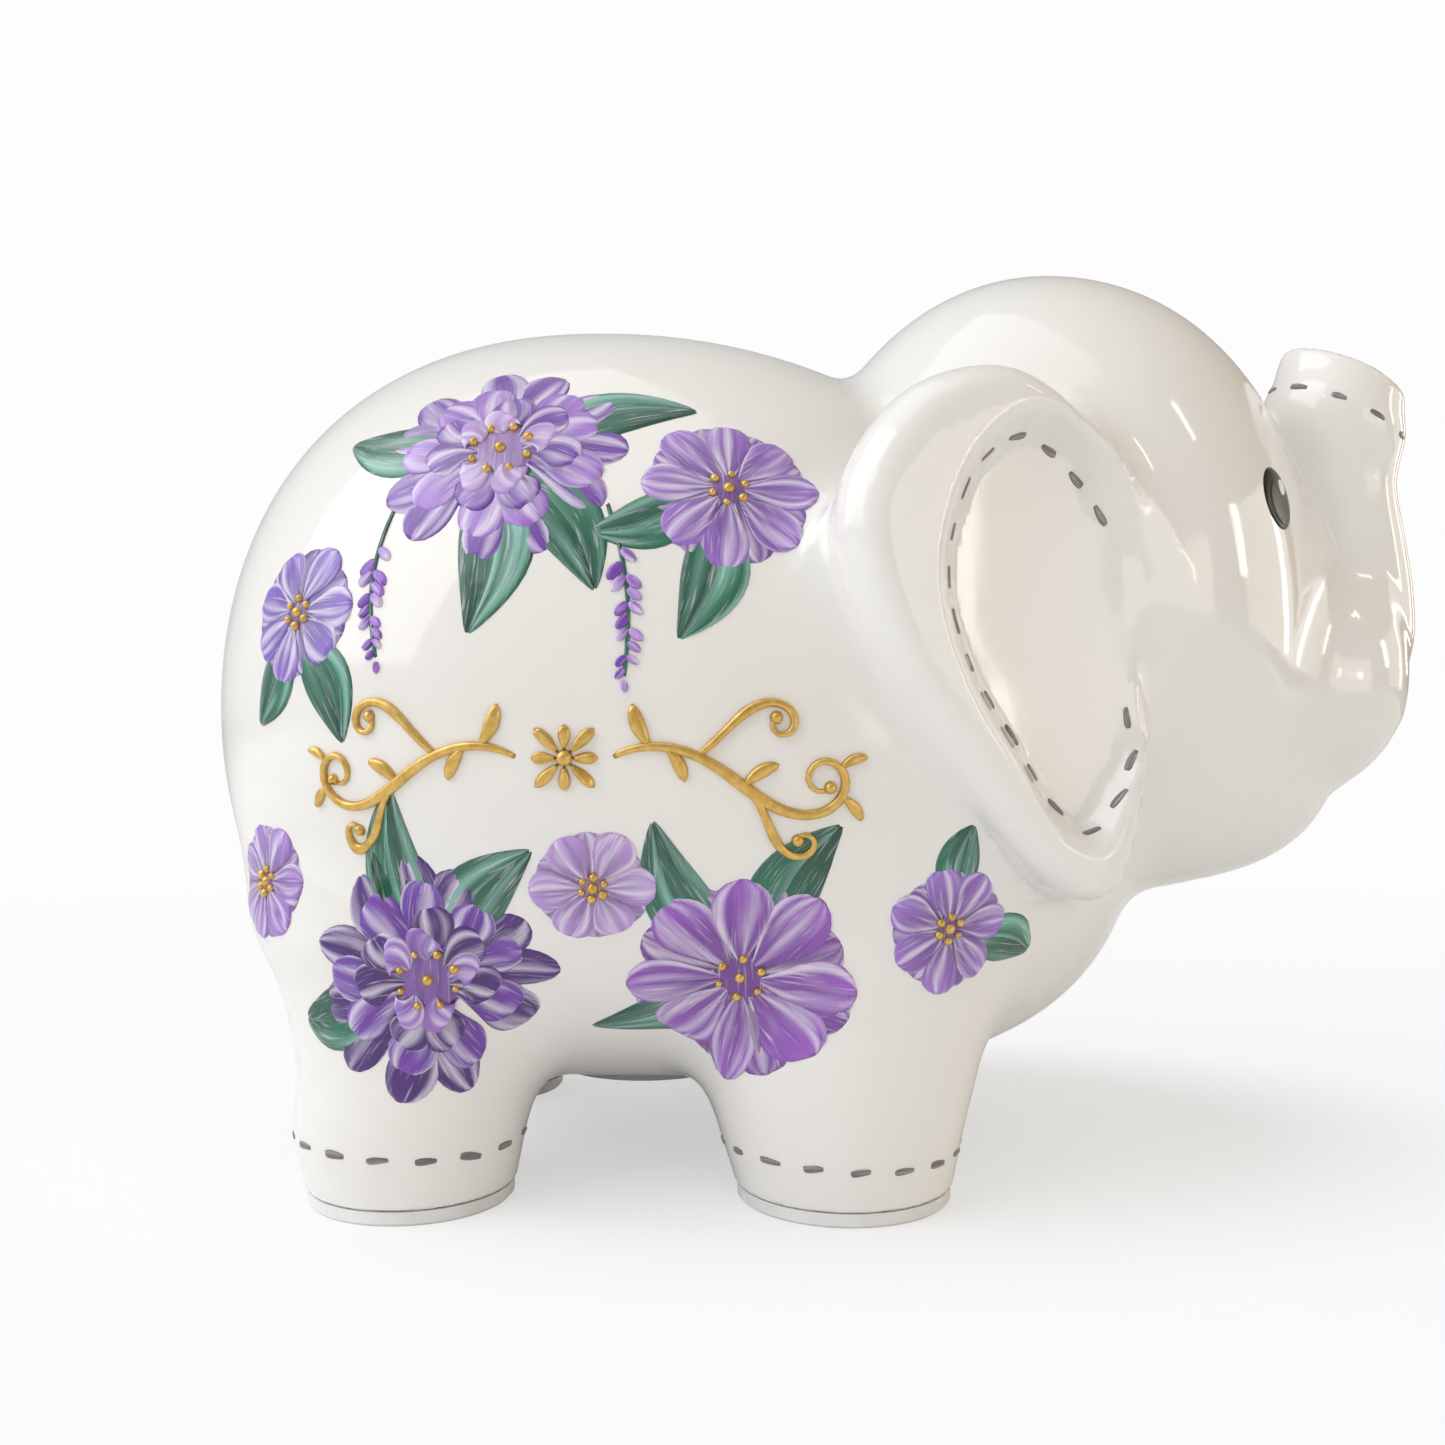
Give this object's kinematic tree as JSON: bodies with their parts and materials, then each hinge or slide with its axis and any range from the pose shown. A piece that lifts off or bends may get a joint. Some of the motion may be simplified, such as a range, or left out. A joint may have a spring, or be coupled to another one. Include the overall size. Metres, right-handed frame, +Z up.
{
  "type": "elephant coin bank",
  "caption": "Ceramic coin bank shaped as a standing elephant, with a coin slot in the back and a pull-out rubber stopper under the belly.",
  "frame": {"origin": "on the surface that the bank stands on, under the middle of its length and width", "axes": "+X forwards towards the trunk, +Y to the elephant's left, +Z up"},
  "size_m": [0.2458, 0.1606, 0.1769],
  "materials": {
    "glazed_ceramic": "gloss glaze",
    "pad_plastic": "matte white",
    "stopper_rubber": "matte grey"
  },
  "bodies": {
    "bank": {"torso_shell": "glazed_ceramic", "head_shell": "glazed_ceramic", "trunk": "glazed_ceramic", "ear_left": "glazed_ceramic", "ear_right": "glazed_ceramic", "tail": "glazed_ceramic", "leg_front_left": "glazed_ceramic", "leg_front_right": "glazed_ceramic", "leg_rear_left": "glazed_ceramic", "leg_rear_right": "glazed_ceramic", "foot_pad_front_left": "pad_plastic", "foot_pad_front_right": "pad_plastic", "foot_pad_rear_left": "pad_plastic", "foot_pad_rear_right": "pad_plastic"},
    "stopper": {"stopper": "stopper_rubber"}
  },
  "joints": [
    {"name": "stopper_pull", "type": "slide", "parent": "bank", "child": "stopper", "axis": [0, 0, -1], "range_m": [0, 0.0125]}
  ]
}
